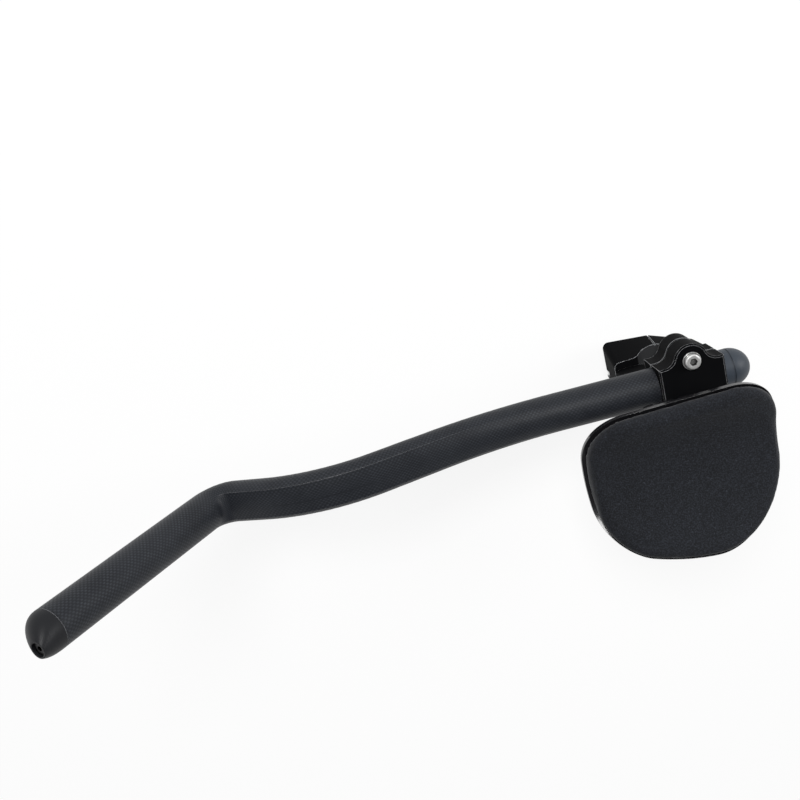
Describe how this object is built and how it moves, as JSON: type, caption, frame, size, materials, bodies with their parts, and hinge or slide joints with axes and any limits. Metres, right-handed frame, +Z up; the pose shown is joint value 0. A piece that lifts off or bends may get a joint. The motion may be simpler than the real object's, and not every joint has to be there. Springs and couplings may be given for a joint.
{
  "type": "triathlon handlebar",
  "caption": "Clip-on triathlon bar: a bent carbon extension held in a black bolted bracket that clamps a handlebar, with a padded trough-shaped arm rest beside it.",
  "frame": {"origin": "on the axis of the handlebar that the bracket clamps, in the middle of the clamp", "axes": "+X forward along the rear run of the extension, +Y along the handlebar towards the rider's left, +Z up"},
  "size_m": [0.391, 0.1119, 0.1836],
  "materials": {
    "carbon": "matte woven carbon laminate",
    "anodised": "black anodised, satin",
    "steel": "bright",
    "black_steel": "blackened",
    "rubber": "satin",
    "cap_plastic": "satin",
    "cup_gloss": "glossy",
    "pad_fabric": "fine knit over foam",
    "hook_tape": "hook tape"
  },
  "bodies": {
    "bracket": {"bracket_body": "anodised", "upper_jaw": "anodised", "inner_pinch_bolt": "steel", "outer_pinch_bolt": "steel", "inner_pinch_washer": "steel", "outer_pinch_washer": "steel", "arm_cup": "cup_gloss", "rear_cup_spacer": "cap_plastic", "front_cup_spacer": "cap_plastic", "rear_cup_washer": "steel", "front_cup_washer": "steel", "rear_cup_bolt": "steel", "front_cup_bolt": "steel", "arm_pad": "pad_fabric", "rear_pad_patch": "hook_tape", "front_pad_patch": "hook_tape"},
    "clamp_cap": {"clamp_cap": "anodised", "front_clamp_bolt": "steel", "rear_clamp_bolt": "steel"},
    "extension": {"extension_tube": "carbon", "rear_end_plug": "rubber", "front_end_cap": "cap_plastic", "cap_screw": "black_steel", "cap_wedge": "cap_plastic"}
  },
  "joints": [
    {"name": "clamp_opening", "type": "slide", "parent": "bracket", "child": "clamp_cap", "axis": [0, 0, -1], "range_m": [0, 0.0139]},
    {"name": "extension_reach", "type": "slide", "parent": "bracket", "child": "extension", "axis": [1, 0, 0], "range_m": [-0.05, 0]}
  ]
}
